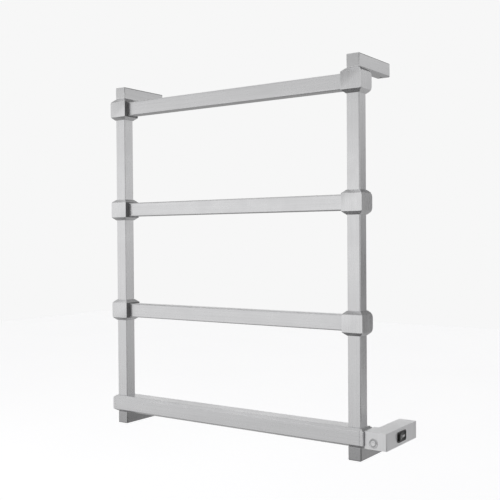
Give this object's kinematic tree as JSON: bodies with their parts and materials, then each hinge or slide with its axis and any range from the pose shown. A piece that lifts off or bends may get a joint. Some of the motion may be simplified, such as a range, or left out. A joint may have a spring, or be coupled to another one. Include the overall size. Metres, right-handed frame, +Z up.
{
  "type": "towel warmer rack",
  "caption": "Wall-held electric towel warmer rack: square posts with bevelled collars, level rails, a thick bottom rail, square wall arms and a side control housing.",
  "frame": {"origin": "centre of the rectangle of four wall screw holes, on the wall surface", "axes": "+X to the right as seen from the room, +Y into the wall along the screws, +Z up"},
  "size_m": [0.631, 0.1275, 0.702],
  "materials": {
    "black_plastic": "smooth moulded",
    "black_rubber": "matt moulded rubber",
    "brass": "turned brass",
    "bright_screw": "zinc plated",
    "brushed_arm": "satin stainless steel, grain along the arm",
    "brushed_rail": "satin stainless steel, grain along the rail",
    "brushed_tube": "satin stainless steel, grain up the tube",
    "button_metal": "fine satin",
    "ceramic": "unglazed ceramic",
    "circuit_board": "solder-masked laminate",
    "collar_metal": "satin stainless steel",
    "cutout_case": "moulded case",
    "dark_plastic": "moulded",
    "dark_screw": "black oxide",
    "element_sheath": "dull stainless sheath",
    "housing_metal": "satin stainless steel",
    "pale_plastic": "moulded nylon",
    "wire_insulation": "silicone insulation",
    "zinc_casting": "plain cast"
  },
  "bodies": {
    "frame": {"arm_set_screws": "dark_screw", "base_screws": "bright_screw", "bottom_left_arm": "brushed_arm", "bottom_left_arm_cap": "brushed_arm", "bottom_left_wall_bracket": "zinc_casting", "bottom_rail": "brushed_rail", "bottom_rail_left_cap": "brushed_rail", "bottom_rail_right_cap": "brushed_rail", "bottom_right_arm": "brushed_arm", "bottom_right_arm_cap": "brushed_arm", "bottom_right_wall_bracket": "zinc_casting", "button_bezel": "button_metal", "cable_grommet": "black_rubber", "collar_set_screws": "dark_screw", "conduit_nut": "brass", "conduit_tube": "brass", "control_board": "circuit_board", "control_housing": "housing_metal", "cord_clamp": "pale_plastic", "element_spacers": "ceramic", "heating_element_1": "element_sheath", "heating_element_2": "element_sheath", "heating_element_3": "element_sheath", "heating_element_4": "element_sheath", "housing_base": "housing_metal", "left_collar_1": "collar_metal", "left_collar_2": "collar_metal", "left_collar_3": "collar_metal", "left_post": "brushed_tube", "left_seal_1": "black_rubber", "left_seal_2": "black_rubber", "left_seal_3": "black_rubber", "pan_head_screws": "bright_screw", "rail_1": "brushed_rail", "rail_2": "brushed_rail", "rail_3": "brushed_rail", "right_collar_1": "collar_metal", "right_collar_2": "collar_metal", "right_collar_3": "collar_metal", "right_post": "brushed_tube", "right_seal_1": "black_rubber", "right_seal_2": "black_rubber", "right_seal_3": "black_rubber", "rocker_body": "black_plastic", "rocker_terminals": "brass", "supply_leads": "wire_insulation", "tact_switch": "dark_plastic", "terminal_block": "pale_plastic", "terminal_screws": "brass", "thermal_cutout": "cutout_case", "top_left_arm": "brushed_arm", "top_left_arm_cap": "brushed_arm", "top_left_wall_bracket": "zinc_casting", "top_right_arm": "brushed_arm", "top_right_arm_cap": "brushed_arm", "top_right_wall_bracket": "zinc_casting", "wiring_loom": "wire_insulation"},
    "button": {"push_button": "button_metal", "switch_plunger": "dark_plastic"},
    "rocker": {"rocker_paddle": "black_plastic"}
  },
  "joints": [
    {"name": "button_press", "type": "slide", "parent": "frame", "child": "button", "axis": [0, 1, 0], "range_m": [0, 0.0015], "stiffness_N_per_m": 900, "springref_m": -0.0004},
    {"name": "rocker_tilt", "type": "hinge", "parent": "frame", "child": "rocker", "pos_m": [0.3339, -0.0635, -0.311], "axis": [0, 0, 1], "range_deg": [-16, 0]}
  ]
}
